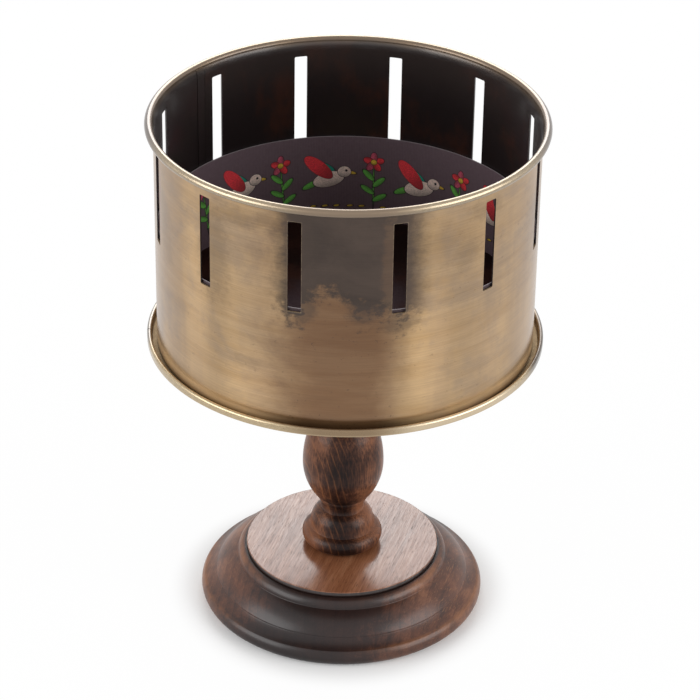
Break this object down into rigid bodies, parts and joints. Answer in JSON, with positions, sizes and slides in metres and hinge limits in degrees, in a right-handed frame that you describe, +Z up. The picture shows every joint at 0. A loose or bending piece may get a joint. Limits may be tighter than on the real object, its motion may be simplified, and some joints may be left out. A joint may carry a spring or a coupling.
{
  "type": "zoetrope",
  "caption": "Tabletop zoetrope: a slotted sheet-brass drum spun by hand on a spindle above a turned wooden stand, with a lift-out picture strip round its inside.",
  "frame": {"origin": "middle of the felt's underside, where the zoetrope stands on the table", "axes": "+Z up along the spindle; -Y towards the side that the picture shows; +X to that viewer's right"},
  "size_m": [0.2106, 0.2106, 0.2904],
  "materials": {
    "antique_brass": "brushed round the drum, aged and lacquered",
    "bright_brass": "satin",
    "steel": "bright",
    "walnut_plinth": "dark stain under a satin varnish",
    "walnut_stem": "dark stain under a gloss varnish",
    "felt": "short napped felt",
    "card": "matt, printed on the inside with a plain sequence of pictures"
  },
  "bodies": {
    "stand": {"base_plinth": "walnut_plinth", "felt_pad": "felt", "stem": "walnut_stem", "stem_screw": "steel", "screw_washer": "steel", "stem_cap": "bright_brass", "stem_cap_pins": "bright_brass", "spindle": "steel", "jam_nut": "steel", "thrust_washer": "steel", "top_washer": "steel", "cap_nut": "bright_brass"},
    "drum": {"drum_wall": "antique_brass", "drum_pan": "antique_brass", "rim_wire": "steel", "hub": "bright_brass", "hub_bush": "bright_brass", "hub_backing_ring": "bright_brass", "hub_rivets": "bright_brass"},
    "strip": {"picture_strip": "card"}
  },
  "joints": [
    {"name": "drum_spin", "type": "hinge", "parent": "stand", "child": "drum", "pos_m": [0, 0, 0.1755], "axis": [0, 0, 1], "continuous": true},
    {"name": "strip_lift", "type": "slide", "parent": "drum", "child": "strip", "axis": [0, 0, 1], "range_m": [0, 0.12]}
  ]
}
